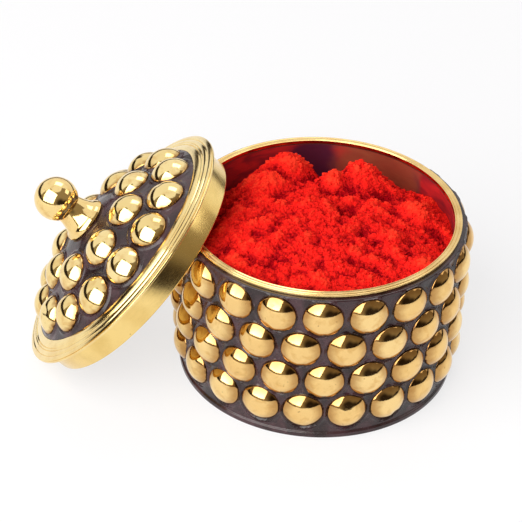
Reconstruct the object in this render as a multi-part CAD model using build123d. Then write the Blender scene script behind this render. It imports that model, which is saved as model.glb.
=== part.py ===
from build123d import *
from math import asin, atan2, cos, hypot, pi, radians, sin, sqrt, tan
import os

# A round powder box: a brass cup with a coat of dark lac and rows of domed brass studs, filled with
# red powder, and its lid, which lies off the box and leans on the mouth.
# Millimetres. +Z is up. The origin is the middle of the box's underside. The viewer stands at -Y.

# Cup and mouth
box_height = 43.7
cup_bore_radius = 33.1
cup_wall = 0.6
cup_floor = 1.0
base_plate_thickness = 1.0
base_plate_inset = 1.2
mouth_ring_width = 1.9
mouth_ring_thickness = 0.9
mouth_line_depth = 0.15
mouth_line_width = 0.2
mouth_bead_width = 0.45

# Lac coat of the box
lac_top_thickness = 2.3
lac_foot_thickness = 0.9
lac_foot_flare = 0.5
lac_foot_height = 2.2
lac_shoulder = 0.8

# Domed studs of the box
stud_radius = 5.0
stud_height = 2.6
stud_rim_round = 0.9
stud_seat_share = 0.6
stud_fit = 0.03
stud_gap = 1.0
top_row_drop = 6.5
bottom_row_rise = 8.1
bottom_row_sink = 0.2
first_row_phase = 0.9
row_phase_step = 1.0

# Lid: rim ring, collar, crown and lac
lid_ring_width = 5.6
lid_ring_inner_height = 2.2
lid_ring_edge_height = 0.8
lid_groove_depth = 0.2
lid_groove_width = 0.4
lid_groove_shares = (0.26, 0.50, 0.62)
collar_clearance = 0.5
collar_wall = 0.8
collar_depth = 6.2
collar_edge_round = 0.3
crown_thickness = 0.8
crown_flat_width = 3.4
crown_fit = 0.05
lid_lac_thickness = 1.8
lid_dome_height = 11.9
lid_dome_bulge = 1.0

# Domed studs of the lid
lid_stud_radius = 4.95
lid_stud_height = 2.9
lid_stud_gap = 0.6
outer_ring_inset = 5.3
inner_ring_inset = 14.8
outer_ring_phase = 11.1
inner_ring_phase = 20.2

# Knob and its rivet
knob_foot_radius = 6.1
knob_foot_round = 1.0
knob_neck_radius = 3.8
knob_neck_length = 5.9
knob_ball_radius = 5.55
rivet_radius = 1.5
rivet_fit = 0.05
rivet_grip = 5.0
rivet_head_radius = 2.6
rivet_head_height = 1.1
washer_radius = 4.5
washer_thickness = 0.6

# Powder
powder_clearance = 0.1
powder_crown_rise = 1.2
powder_crown_curve = 90.0
powder_back_slope = 40.0
powder_left_slope = 50.0
powder_blend = 1.0
powder_ripple_size = 1.9
powder_ripple_rise = 0.6
powder_sectors = 40
powder_rings = 11

# How the lid leans: the mouth's edge crosses the collar this share of its radius above its middle
lean_share = 0.76
lean_gap = 0.4
lean_azimuth = 177.8
steepest_lean = 80.0

# Sizes that follow
cup_outer_radius = cup_bore_radius + cup_wall
mouth_ring_radius = cup_bore_radius + mouth_ring_width
lac_top_radius = cup_outer_radius + lac_top_thickness
lac_foot_radius = cup_outer_radius + lac_foot_thickness
lac_top_height = box_height - mouth_ring_thickness
heap_floor_height = base_plate_thickness + cup_floor
lid_ring_radius = mouth_ring_radius
lid_ring_bore_radius = lid_ring_radius - lid_ring_width
outer_ring_radius = lid_ring_bore_radius - outer_ring_inset
inner_ring_radius = lid_ring_bore_radius - inner_ring_inset
collar_radius = cup_bore_radius - collar_clearance
collar_bore_radius = collar_radius - collar_wall
crown_radius = collar_bore_radius - crown_fit
crown_dome_radius = crown_radius - crown_flat_width
crown_top_height = lid_dome_height - lid_lac_thickness
powder_radius = cup_bore_radius - powder_clearance
stud_pitch = 2 * stud_radius + stud_gap
lid_stud_pitch = 2 * lid_stud_radius + lid_stud_gap


def turned(profile):
    """A solid of revolution about +Z from a closed outline of (radius, height) points."""
    return revolve(Plane.XZ * make_face(profile), axis=Axis.Z)


def arc_point(start, end, bulge):
    """The middle point of an arc from start to end that stands out to the right of the way by bulge."""
    run = end[0] - start[0]
    rise = end[1] - start[1]
    length = hypot(run, rise)
    return ((start[0] + end[0]) / 2 + bulge * rise / length, (start[1] + end[1]) / 2 - bulge * run / length)


def lac_radius(height):
    """The radius of the box's lac coat, which widens evenly from its foot to its shoulder."""
    share = (height - lac_foot_height) / (lac_top_height - lac_foot_height)
    return lac_foot_radius + share * (lac_top_radius - lac_foot_radius)


# Every shank goes into the lac as deep as the thinnest coat behind the bottom row allows
stud_seat_depth = stud_seat_share * (lac_radius(bottom_row_rise) - bottom_row_sink - cup_outer_radius)


def domed_stud(radius, height):
    """A domed stud with a rounded rim, its shank below z = 0 and its dome above."""
    rim_middle = radius - stud_rim_round
    sphere = (rim_middle ** 2 + height ** 2 - stud_rim_round ** 2) / (2 * (height - stud_rim_round))
    turn = asin(rim_middle / (sphere - stud_rim_round))

    def dome_spot(angle):
        return sphere * sin(angle), height - sphere + sphere * cos(angle)

    rim_turn = (turn + pi / 2) / 2
    rim_spot = (rim_middle + stud_rim_round * sin(rim_turn), stud_rim_round * cos(rim_turn))
    sides = Polyline((0, height), (0, -stud_seat_depth), (radius, -stud_seat_depth), (radius, 0))
    rim = ThreePointArc((radius, 0), rim_spot, dome_spot(turn))
    return turned(sides + rim + ThreePointArc(dome_spot(turn), dome_spot(turn / 2), (0, height)))


def stud_pocket(radius):
    """What is cut from the lac for a stud's shank, open outwards."""
    depth = stud_seat_depth + radius
    return Pos(0, 0, -stud_seat_depth) * Cylinder(radius + stud_fit, depth, align=(Align.CENTER, Align.CENTER, Align.MIN))


def box_stud_rows():
    """The seat of every stud of the box, row by row from the top."""
    span = box_height - top_row_drop - bottom_row_rise
    row_steps = max(1, int(span / (stud_pitch * sin(radians(60)))))
    count = int(2 * pi * lac_radius(box_height - top_row_drop) / stud_pitch)
    rows = []
    for row in range(row_steps + 1):
        height = box_height - top_row_drop - span * row / row_steps
        sink = bottom_row_sink if row == row_steps else 0
        radius = lac_radius(height) - sink
        phase = first_row_phase + row * row_phase_step - 90
        seats = []
        for place in range(count):
            turn = radians(phase + (place + (row % 2) / 2) * 360 / count)
            outward = (cos(turn), sin(turn), 0)
            seats.append(Plane(origin=(radius * cos(turn), radius * sin(turn), height), z_dir=outward))
        rows.append(seats)
    return rows


def lid_surface_arc():
    """Start, middle and end of the lac dome's outline, from the rim ring to the knob."""
    start = (lid_ring_bore_radius, lid_ring_inner_height)
    end = (knob_foot_radius, lid_dome_height)
    return start, arc_point(start, end, lid_dome_bulge), end


def dome_point(radius):
    """Height and slope of the lac dome at a radius, from the circle of its outline."""
    start, middle, end = lid_surface_arc()
    chord = hypot(end[0] - start[0], end[1] - start[1])
    sphere = chord ** 2 / (8 * lid_dome_bulge) + lid_dome_bulge / 2
    lean = atan2(end[1] - start[1], start[0] - end[0])
    centre_radius = middle[0] - sphere * sin(lean)
    centre_height = middle[1] - sphere * cos(lean)
    slope = asin((radius - centre_radius) / sphere)
    return centre_height + sphere * cos(slope), slope


def lid_stud_ring(radius, phase):
    """The seats of one ring of studs on the lac dome, in the lid's own frame."""
    height, slope = dome_point(radius)
    count = int(2 * pi * radius / lid_stud_pitch)
    seats = []
    for place in range(count):
        turn = radians(phase + place * 360 / count)
        outward = (sin(slope) * cos(turn), sin(slope) * sin(turn), cos(slope))
        seats.append(Plane(origin=(radius * cos(turn), radius * sin(turn), height), z_dir=outward))
    return seats


def lid_place():
    """Where the lid lies: on its collar's edge, with the box's mouth just inside the collar."""
    rise = box_height / (collar_radius * (1 + lean_share))
    if rise < sin(radians(steepest_lean)):
        tilt = asin(rise)
        half_chord = sqrt(collar_bore_radius ** 2 - (lean_share * collar_radius) ** 2)
        standoff = sqrt((mouth_ring_radius + lean_gap) ** 2 - half_chord ** 2) + box_height / tan(tilt)
    else:
        tilt = radians(steepest_lean)
        standoff = lac_top_radius + stud_height + lean_gap + 2 * collar_radius * cos(tilt)
    away = Vector(cos(radians(lean_azimuth)), sin(radians(lean_azimuth)), 0)
    up = Vector(0, 0, 1)
    axis = away * sin(tilt) + up * cos(tilt)
    down_slope = away * cos(tilt) - up * sin(tilt)
    edge_lift = collar_edge_round * (sin(tilt) + cos(tilt) - 1)
    middle = away * standoff - down_slope * collar_radius + axis * collar_depth - up * edge_lift
    return Plane(origin=middle, x_dir=down_slope, z_dir=axis)


def inner_cup():
    floor = base_plate_thickness
    return turned(Polyline(
        (0, floor), (cup_outer_radius, floor), (cup_outer_radius, lac_top_height),
        (cup_bore_radius, lac_top_height), (cup_bore_radius, heap_floor_height), (0, heap_floor_height), close=True))


def base_plate():
    return Cylinder(lac_foot_radius - base_plate_inset, base_plate_thickness, align=(Align.CENTER, Align.CENTER, Align.MIN))


def mouth_ring():
    """Flat ring with a turned line near each edge and a rounded bead outside."""
    line_depth = box_height - mouth_line_depth
    bead_start = mouth_ring_radius - mouth_bead_width
    inner_line = cup_bore_radius + mouth_line_width
    outline = Polyline(
        (mouth_ring_radius, box_height - mouth_bead_width), (mouth_ring_radius, lac_top_height),
        (cup_bore_radius, lac_top_height), (cup_bore_radius, box_height - mouth_line_width / 2),
        (cup_bore_radius + mouth_line_width / 2, box_height), (inner_line, box_height),
        (inner_line + mouth_line_width / 2, line_depth), (inner_line + mouth_line_width, box_height),
        (bead_start - mouth_line_width, box_height), (bead_start - mouth_line_width / 2, line_depth),
        (bead_start, box_height - mouth_line_width / 2))
    bead_top = (bead_start + mouth_bead_width * cos(radians(45)), box_height - mouth_bead_width * (1 - sin(radians(45))))
    bead = ThreePointArc((bead_start, box_height), bead_top, (mouth_ring_radius, box_height - mouth_bead_width))
    step = Line((bead_start, box_height - mouth_line_width / 2), (bead_start, box_height))
    return turned(outline + step + bead)


def body_lac(rows):
    """The lac coat: a flared foot, a widening wall and a rounded shoulder under the mouth ring."""
    plate_edge = lac_foot_radius - base_plate_inset
    foot_edge = lac_foot_radius + lac_foot_flare
    shoulder_start = (lac_top_radius, lac_top_height - lac_shoulder)
    shoulder_end = (lac_top_radius - lac_shoulder, lac_top_height)
    inner = Polyline(
        shoulder_end, (cup_outer_radius, lac_top_height), (cup_outer_radius, base_plate_thickness),
        (plate_edge, base_plate_thickness), (plate_edge, 0), (foot_edge, 0), (foot_edge, lac_foot_flare))
    foot_top = (lac_foot_radius, lac_foot_height)
    foot = ThreePointArc((foot_edge, lac_foot_flare), arc_point((foot_edge, lac_foot_flare), foot_top, -lac_foot_flare / 3), foot_top)
    wall = Line(foot_top, shoulder_start)
    rounding = ThreePointArc(shoulder_start, arc_point(shoulder_start, shoulder_end, lac_shoulder * (1 - cos(radians(45)))), shoulder_end)
    coat = turned(inner + foot + wall + rounding)
    pocket = stud_pocket(stud_radius)
    return coat - [seat * pocket for row in rows for seat in row]


def lid_rim_ring():
    """Ring with a sloping face cut by concentric grooves, its outer edge rounded."""
    slope = (lid_ring_inner_height - lid_ring_edge_height) / lid_ring_width
    points = [(lid_ring_bore_radius, 0), (lid_ring_radius, 0), (lid_ring_radius, lid_ring_edge_height)]
    for share in lid_groove_shares:
        middle = lid_ring_radius - lid_ring_width * share
        for across, down in ((0.5, 0), (0, lid_groove_depth), (-0.5, 0)):
            radius = middle + across * lid_groove_width
            height = lid_ring_edge_height + slope * (lid_ring_radius - radius) - down
            points.append((radius, height))
    points.append((lid_ring_bore_radius, lid_ring_inner_height))
    return turned(Polyline(*points, close=True))


def lid_collar():
    """Band that plugs into the cup, with a rounded lower edge."""
    low = -collar_depth
    edge = ThreePointArc(
        (collar_radius - collar_edge_round, low),
        (collar_radius - collar_edge_round * (1 - cos(radians(45))), low + collar_edge_round * (1 - sin(radians(45)))),
        (collar_radius, low + collar_edge_round))
    sides = Polyline(
        (collar_radius, low + collar_edge_round), (collar_radius, 0), (collar_bore_radius, 0),
        (collar_bore_radius, low), (collar_radius - collar_edge_round, low))
    return turned(sides + edge)


def crown_arcs():
    """Upper and lower outlines of the crown's dome."""
    top = ((crown_dome_radius, 0), (knob_foot_radius, crown_top_height))
    low = ((crown_dome_radius - crown_thickness, -crown_thickness), (knob_foot_radius, crown_top_height - crown_thickness))
    return [(start, arc_point(start, end, lid_dome_bulge), end) for start, end in (top, low)]


def lid_crown():
    """Thin domed plate with a flat edge under the rim ring and a hole for the rivet."""
    top, low = crown_arcs()
    hole = rivet_radius + rivet_fit
    upper = Polyline(top[2], (hole, crown_top_height), (hole, crown_top_height - crown_thickness), low[2])
    edge = Polyline(low[0], (crown_radius, -crown_thickness), (crown_radius, 0), top[0])
    return turned(ThreePointArc(*top) + upper + ThreePointArc(*low) + edge)


def lid_lac(rings):
    """The lac dome between rim ring, crown and knob, with a pocket for each stud."""
    top, low = crown_arcs()
    surface = lid_surface_arc()
    hole = rivet_radius + rivet_fit
    middle = Polyline(surface[2], (hole, lid_dome_height), (hole, crown_top_height), top[2])
    edge = Polyline(top[0], (lid_ring_bore_radius, 0), surface[0])
    coat = turned(ThreePointArc(*surface) + middle + ThreePointArc(*top) + edge)
    pocket = stud_pocket(lid_stud_radius)
    return coat - [seat * pocket for ring in rings for seat in ring]


def lid_knob():
    """Ball on a neck that flares to a rounded foot, bored from below for the rivet."""
    foot = lid_dome_height
    neck_top = foot + knob_neck_length
    ball_middle = neck_top + sqrt(knob_ball_radius ** 2 - knob_neck_radius ** 2)
    bore = rivet_radius + rivet_fit
    shoulder_low = (knob_foot_radius, foot + knob_foot_round / 2)
    shoulder_high = (knob_foot_radius - knob_foot_round, foot + 2 * knob_foot_round)
    neck_end = (knob_neck_radius, neck_top)
    ball_top = (0, ball_middle + knob_ball_radius)
    base = Polyline(
        ball_top, (0, foot + rivet_grip), (bore, foot + rivet_grip), (bore, foot),
        (knob_foot_radius - knob_foot_round / 2, foot), shoulder_low)
    shoulder = ThreePointArc(shoulder_low, arc_point(shoulder_low, shoulder_high, knob_foot_round / 4), shoulder_high)
    neck = ThreePointArc(shoulder_high, arc_point(shoulder_high, neck_end, -knob_foot_round / 6), neck_end)
    ball = ThreePointArc(neck_end, (knob_ball_radius, ball_middle), ball_top)
    return turned(base + shoulder + neck + ball)


def knob_washer():
    under = crown_top_height - crown_thickness
    low = under - washer_thickness
    hole = rivet_radius + rivet_fit
    return turned(Polyline((hole, low), (washer_radius, low), (washer_radius, under), (hole, under), close=True))


def knob_rivet():
    """Shank up into the knob, with a domed head under the washer."""
    seat = crown_top_height - crown_thickness - washer_thickness
    top = lid_dome_height + rivet_grip
    rim = (rivet_head_radius, seat)
    crest = (0, seat - rivet_head_height)
    head = ThreePointArc(crest, arc_point(crest, rim, rivet_head_height / 4), rim)
    shank = Polyline(rim, (rivet_radius, seat), (rivet_radius, top), (0, top), crest)
    return turned(head + shank)


def blended(first, second, sign):
    """The greater of two heights (sign 1) or the lesser (sign -1), with a smooth change from one to the other."""
    return (first + second + sign * sqrt((first - second) ** 2 + powder_blend ** 2)) / 2


# Mounds and hollows of the powder, by eye: places across and away from the middle as shares of the powder's
# radius, heights of the tops or bottoms above the mouth, and how steeply the sides fall
powder_mounds = (
    (-0.28, 0.60, 5.3, 1.25),
    (-0.40, 0.38, 3.6, 1.0),
    (0.30, 0.51, 5.6, 1.25),
    (0.08, 0.40, 3.4, 1.0),
    (-0.10, 0.10, 2.8, 0.7),
    (0.70, 0.12, 1.7, 0.9),
    (0.52, -0.32, 1.6, 0.7),
    (-0.45, -0.20, 1.8, 0.7),
    (0.05, -0.45, 1.8, 0.7),
    (0.72, -0.55, 0.6, 0.7),
)
powder_hollows = (
    (0.18, 0.06, -2.4, 1.0),
    (0.71, -0.12, -1.8, 0.9),
    (0.46, 0.27, -1.2, 0.9),
    (0.23, -0.58, -1.0, 0.8),
    (0.38, -0.44, -0.8, 0.8),
    (1.02, 0.15, -5.0, 1.0),
    (-0.86, 0.16, -4.0, 1.1),
    (-0.30, -0.62, -0.4, 0.6),
)


def powder_height(x, y):
    """Height of the powder: a broad crown that falls off behind and to the left, with mounds and hollows."""
    top = box_height + powder_crown_rise
    across = x + 0.05 * powder_radius
    away = y + 0.15 * powder_radius
    height = top - (across ** 2 + away ** 2) / (2 * powder_crown_curve)
    behind = y - 0.35 * powder_radius
    height = blended(height, top - tan(radians(powder_back_slope)) * behind, -1)
    leftward = y * sin(radians(20)) - x * cos(radians(20)) - 0.58 * powder_radius
    height = blended(height, top - tan(radians(powder_left_slope)) * leftward, -1)
    for sign, shapes in ((1, powder_mounds), (-1, powder_hollows)):
        for share_across, share_away, rise, slope in shapes:
            distance = hypot(x - share_across * powder_radius, y - share_away * powder_radius)
            tip = box_height + rise + sign * powder_blend * slope
            height = blended(height, tip - sign * slope * hypot(distance, powder_blend), sign)
    ripple_x = x / powder_ripple_size + 1.3 * sin(0.6 * y / powder_ripple_size)
    ripple_y = y / powder_ripple_size + 1.1 * sin(0.7 * x / powder_ripple_size)
    return height + powder_ripple_rise * sin(ripple_x) * sin(ripple_y)


def kumkum_heap():
    """Powder that fills the cup, its top made of small flat facets on rings of points."""
    def point(ring, sector, height=None):
        radius = powder_radius * ring / powder_rings
        turn = 2 * pi * (sector % powder_sectors) / powder_sectors
        x = radius * cos(turn)
        y = radius * sin(turn)
        return Vector(x, y, powder_height(x, y) if height is None else height)

    def facet(*corners):
        return Face(Wire.make_polygon(corners, close=True))

    faces = [facet(*[point(powder_rings, sector, heap_floor_height) for sector in range(powder_sectors)])]
    for sector in range(powder_sectors):
        faces.append(facet(point(0, 0), point(1, sector), point(1, sector + 1)))
        for ring in range(1, powder_rings):
            near = point(ring, sector)
            far = point(ring + 1, sector + 1)
            faces.append(facet(near, point(ring + 1, sector), far))
            faces.append(facet(near, far, point(ring, sector + 1)))
        side = (point(powder_rings, sector), point(powder_rings, sector + 1))
        foot = (point(powder_rings, sector + 1, heap_floor_height), point(powder_rings, sector, heap_floor_height))
        faces.append(facet(*side, *foot))
    return Solid(Shell(faces))


def save(name, shape):
    shape.label = name
    export_step(shape, f"parts/{name}.step")


os.makedirs("parts", exist_ok=True)

rows = box_stud_rows()
outer_ring = lid_stud_ring(outer_ring_radius, outer_ring_phase)
inner_ring = lid_stud_ring(inner_ring_radius, inner_ring_phase)
place = lid_place()
box_stud = domed_stud(stud_radius, stud_height)
lid_stud = domed_stud(lid_stud_radius, lid_stud_height)

save("inner_cup", inner_cup())
save("base_plate", base_plate())
save("mouth_ring", mouth_ring())
save("body_lac", body_lac(rows))
for number, row in enumerate(rows, start=1):
    save(f"studs_row_{number}", Compound(children=[seat * box_stud for seat in row]))
save("kumkum_heap", kumkum_heap())

save("lid_rim_ring", place * lid_rim_ring())
save("lid_collar", place * lid_collar())
save("lid_crown", place * lid_crown())
save("lid_lac", place * lid_lac((outer_ring, inner_ring)))
save("lid_studs_outer", Compound(children=[place * (seat * lid_stud) for seat in outer_ring]))
save("lid_studs_inner", Compound(children=[place * (seat * lid_stud) for seat in inner_ring]))
save("lid_knob", place * lid_knob())
save("knob_washer", place * knob_washer())
save("knob_rivet", place * knob_rivet())
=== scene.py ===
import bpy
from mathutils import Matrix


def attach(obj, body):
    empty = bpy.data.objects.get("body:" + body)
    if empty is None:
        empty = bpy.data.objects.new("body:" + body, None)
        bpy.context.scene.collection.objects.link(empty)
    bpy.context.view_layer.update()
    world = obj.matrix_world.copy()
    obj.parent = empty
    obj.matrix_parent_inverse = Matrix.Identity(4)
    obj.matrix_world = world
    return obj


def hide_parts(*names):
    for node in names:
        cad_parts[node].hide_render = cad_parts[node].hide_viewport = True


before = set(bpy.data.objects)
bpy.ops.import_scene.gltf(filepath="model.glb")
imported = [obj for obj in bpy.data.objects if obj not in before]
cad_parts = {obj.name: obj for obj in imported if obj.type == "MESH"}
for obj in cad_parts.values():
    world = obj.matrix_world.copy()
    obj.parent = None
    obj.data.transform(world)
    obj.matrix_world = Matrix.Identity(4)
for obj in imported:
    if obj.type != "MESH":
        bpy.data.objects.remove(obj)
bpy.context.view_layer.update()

import random
from math import asin, atan2, cos, hypot, pi, radians, sin, sqrt, tan

import bmesh
import bpy
import numpy as np
from mathutils import Matrix, Vector, noise

# The looks of a lacquered brass powder box and its lid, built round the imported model.
# Shapes are worked out in millimetres, as in the model's source, and their meshes are put down in metres.
metres = 0.001

# Camera: how far the middle of the box's underside lies in front of it, to the right and below its axis
view_elevation = 35.52
view_roll = 2.28
view_distance = 625.9
view_right = 13.9
view_down = 23.4
view_lens = 166.19
view_sensor = 36.0

# Cup and mouth, as in the model
box_height = 43.7
cup_bore_radius = 33.1
cup_wall = 0.6
cup_floor = 1.0
base_plate_thickness = 1.0
base_plate_inset = 1.2
mouth_ring_width = 1.9
mouth_ring_thickness = 0.9
mouth_line_depth = 0.15
mouth_line_width = 0.2
mouth_bead_width = 0.45

# Lac coat of the box
lac_top_thickness = 2.3
lac_foot_thickness = 0.9
lac_foot_flare = 0.5
lac_foot_height = 2.2
lac_foot_ledge = 1.2
lac_shoulder = 0.8

# Domed studs of the box
stud_radius = 5.0
stud_height = 2.6
stud_rim_round = 0.9
stud_gap = 1.0
top_row_drop = 6.5
bottom_row_rise = 8.1
bottom_row_sink = 0.2
first_row_phase = 0.9
row_phase_step = 1.0

# Lid
lid_ring_width = 5.6
lid_ring_inner_height = 2.2
lid_ring_edge_height = 0.8
lid_groove_depth = 0.2
lid_groove_width = 0.4
lid_groove_shares = (0.26, 0.50, 0.62)
lid_band_bulge = 0.10
collar_clearance = 0.5
collar_wall = 0.8
collar_depth = 6.2
collar_edge_round = 0.3
crown_thickness = 0.8
crown_flat_width = 3.4
crown_fit = 0.05
lid_lac_thickness = 1.8
lid_dome_height = 11.9
lid_dome_bulge = 1.0
lid_stud_radius = 4.95
lid_stud_height = 2.9
lid_stud_gap = 0.6
outer_ring_inset = 5.3
inner_ring_inset = 14.8
outer_ring_phase = 11.1
inner_ring_phase = 20.2
knob_foot_radius = 6.1
knob_foot_round = 1.0
knob_neck_radius = 3.8
knob_neck_length = 5.9
knob_ball_radius = 5.55
rivet_hole_radius = 1.55
rivet_grip = 5.0
lean_share = 0.76
lean_gap = 0.4
lean_azimuth = 177.8

# Powder
powder_clearance = 0.1
powder_crown_rise = 1.2
powder_crown_curve = 90.0
powder_back_slope = 40.0
powder_left_slope = 50.0
powder_blend = 1.0
powder_ripple_size = 1.9
powder_ripple_rise = 0.6

# Sizes that follow
cup_outer_radius = cup_bore_radius + cup_wall
mouth_ring_radius = cup_bore_radius + mouth_ring_width
lac_top_radius = cup_outer_radius + lac_top_thickness
lac_foot_radius = cup_outer_radius + lac_foot_thickness
lac_top_height = box_height - mouth_ring_thickness
heap_floor_height = base_plate_thickness + cup_floor
lid_ring_radius = mouth_ring_radius
lid_ring_bore_radius = lid_ring_radius - lid_ring_width
collar_radius = cup_bore_radius - collar_clearance
collar_bore_radius = collar_radius - collar_wall
crown_dome_radius = collar_bore_radius - crown_fit - crown_flat_width
crown_top_height = lid_dome_height - lid_lac_thickness
powder_radius = cup_bore_radius - powder_clearance

# How finely the meshes are made
turned_sides = 360
lac_sides = 720
lid_lac_sides = 480
lac_step = 0.28
stud_sides = 56
stud_rings = 14
stud_rim_rings = 6
weld_distance = 1e-6
sharp_angle = 38.0

# Soft lac drawn up round each stud: it fills the sides, dips beside the rim and stands in a low ridge round it
lac_fill_drop = 0.05
lac_fill_fall = 1.1
lac_fill_blend = 0.16
lac_ridge_out = 0.5
lac_ridge_width = 0.36
lac_ridge_rise = 0.34
lac_dip_width = 0.2
lac_dip_depth = 0.12
lac_reach = 2.5
lac_wave_size = 4.5
lac_wave_rise = 0.07
lac_ripple_size = 1.4
lac_ripple_rise = 0.02

# Each stud is a little different: how far its tilt, size, seat and surface vary, and the dents in some
stud_tilt = 2.4
stud_size_change = 0.012
stud_sink_least = 0.02
stud_sink_most = 0.12
stud_wave_size = 2.6
stud_wave_depth = 0.022
stud_dent_share = 0.35
stud_dent_radius = 1.4
stud_dent_depth = 0.18
stud_skirt = 0.5

# Where the cup's wall is stained darkest and where its brass shows most: middles and sizes in millimetres
cup_stains = (((-3, 33, 36), 9), ((-30, 13, 36), 11), ((22, 24.7, 38), 5))
cup_bare = ((15, 29.5, 38), 13)

# How much of the floor's white is its own where the camera or metal sees it, so that its shadows stay faint
floor_glow = 0.72

# Relief of the powder: sizes across and rises of its clods, lumps and grains
swell_size = 6.0
swell_rise = 0.3
clod_size = 3.6
clod_rise = 1.15
lump_size = 1.6
lump_rise = 0.95
crack_size = 2.5
crack_shift = 1.1
grain_size = 0.7
grain_rise = 0.34
powder_rings = 230
powder_sectors = 660
powder_rim_fade = 2.0
# How far round and how strongly the powder's form is weighed for its painted shade in pits and painted light on crests,
# and the most that this may add
openness_reach = 3.2
openness_share = 0.55
openness_most = 0.7
crumb_count = 6000
crumb_least = 0.2
crumb_most = 0.62


def arc_point(start, end, bulge):
    """The middle point of an arc from start to end that stands out to the right of the way by bulge."""
    run = end[0] - start[0]
    rise = end[1] - start[1]
    length = hypot(run, rise)
    return ((start[0] + end[0]) / 2 + bulge * rise / length, (start[1] + end[1]) / 2 - bulge * run / length)


def arc_through(start, middle, end, steps):
    """Points along the circle through three points, from start to end."""
    (ax, ay), (bx, by), (cx, cy) = start, middle, end
    turn = 2 * (ax * (by - cy) + bx * (cy - ay) + cx * (ay - by))
    squares = [x * x + y * y for x, y in (start, middle, end)]
    centre_x = (squares[0] * (by - cy) + squares[1] * (cy - ay) + squares[2] * (ay - by)) / turn
    centre_y = (squares[0] * (cx - bx) + squares[1] * (ax - cx) + squares[2] * (bx - ax)) / turn
    radius = hypot(ax - centre_x, ay - centre_y)
    first, mid, last = (atan2(y - centre_y, x - centre_x) for x, y in (start, middle, end))
    onward = (mid - first) % (2 * pi) < (last - first) % (2 * pi)
    sweep = (last - first) % (2 * pi) if onward else -((first - last) % (2 * pi))
    angles = [first + sweep * step / steps for step in range(steps + 1)]
    return [(centre_x + radius * cos(angle), centre_y + radius * sin(angle)) for angle in angles]


def rounded(corners, steps=4):
    """An outline from (radius, height, rounding) corners, each turned into a small curve."""
    outline = []
    for place, (across, height, rounding) in enumerate(corners):
        here = Vector((across, height))
        back = Vector(corners[place - 1][:2]) - here
        onward = Vector(corners[(place + 1) % len(corners)][:2]) - here
        reach = min(rounding, back.length * 0.45, onward.length * 0.45)
        if reach <= 0:
            outline.append(tuple(here))
            continue
        start = here + back.normalized() * reach
        end = here + onward.normalized() * reach
        for step in range(steps + 1):
            share = step / steps
            outline.append(tuple(start.lerp(here, share).lerp(here.lerp(end, share), share)))
    return outline


def turned(outline, sides):
    """Points and faces of a closed outline of (radius, height) points turned about Z."""
    outline = np.array(outline, float)
    turns = np.arange(sides) * 2 * pi / sides
    radius = outline[:, :1]
    height = outline[:, 1:] + 0 * turns
    points = np.stack([radius * np.cos(turns), radius * np.sin(turns), height], axis=-1).reshape(-1, 3)
    ring = np.arange(len(outline))[:, None]
    side = np.arange(sides)[None, :]
    next_ring = (ring + 1) % len(outline)
    next_side = (side + 1) % sides
    corners = (ring * sides + side, ring * sides + next_side, next_ring * sides + next_side, next_ring * sides + side)
    faces = np.stack(corners, axis=-1).reshape(-1, 4)
    return points, faces


def add_piece(name, points, faces, finish, body, slot, stands_for, place=None, marks=None):
    """A mesh piece from points in millimetres, which stands for CAD nodes and rides on their body.

    place puts it where the lid lies, and marks is a number kept on each point for its material.
    """
    mesh = bpy.data.meshes.new(name)
    mesh.from_pydata((points * metres).tolist(), [], faces.tolist())
    if place is not None:
        mesh.transform(place)
    if marks is not None:
        mesh.attributes.new("relief", "FLOAT", "POINT").data.foreach_set("value", marks.astype(np.float32))
    shape = bmesh.new()
    shape.from_mesh(mesh)
    bmesh.ops.remove_doubles(shape, verts=shape.verts, dist=weld_distance)
    bmesh.ops.recalc_face_normals(shape, faces=shape.faces)
    shape.to_mesh(mesh)
    shape.free()
    mesh.shade_smooth()
    mesh.set_sharp_from_angle(angle=radians(sharp_angle))
    mesh.materials.append(finish)
    made = bpy.data.objects.new(name, mesh)
    bpy.context.scene.collection.objects.link(made)
    if stands_for:
        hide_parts(*stands_for)
    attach(made, body)
    return made


def lac_radius(height):
    """The radius of the box's lac coat, which widens evenly from its foot to its shoulder."""
    share = (height - lac_foot_height) / (lac_top_height - lac_foot_height)
    return lac_foot_radius + share * (lac_top_radius - lac_foot_radius)


def box_stud_rows():
    """The seat of every stud of the box, row by row from the top: its middle and the way that it faces."""
    pitch = 2 * stud_radius + stud_gap
    span = box_height - top_row_drop - bottom_row_rise
    row_steps = max(1, int(span / (pitch * sin(radians(60)))))
    count = int(2 * pi * lac_radius(box_height - top_row_drop) / pitch)
    rows = []
    for row in range(row_steps + 1):
        height = box_height - top_row_drop - span * row / row_steps
        radius = lac_radius(height) - (bottom_row_sink if row == row_steps else 0)
        phase = first_row_phase + row * row_phase_step - 90
        turns = [radians(phase + (place + (row % 2) / 2) * 360 / count) for place in range(count)]
        rows.append([((radius * cos(turn), radius * sin(turn), height), (cos(turn), sin(turn), 0)) for turn in turns])
    return rows


def lid_surface_arc():
    """Start, middle and end of the lac dome's outline, from the rim ring to the knob."""
    start = (lid_ring_bore_radius, lid_ring_inner_height)
    end = (knob_foot_radius, lid_dome_height)
    return start, arc_point(start, end, lid_dome_bulge), end


def dome_point(radius):
    """Height and slope of the lac dome at a radius, from the circle of its outline."""
    start, middle, end = lid_surface_arc()
    chord = hypot(end[0] - start[0], end[1] - start[1])
    sphere = chord ** 2 / (8 * lid_dome_bulge) + lid_dome_bulge / 2
    lean = atan2(end[1] - start[1], start[0] - end[0])
    slope = asin((radius - middle[0] + sphere * sin(lean)) / sphere)
    return middle[1] - sphere * cos(lean) + sphere * cos(slope), slope


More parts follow.
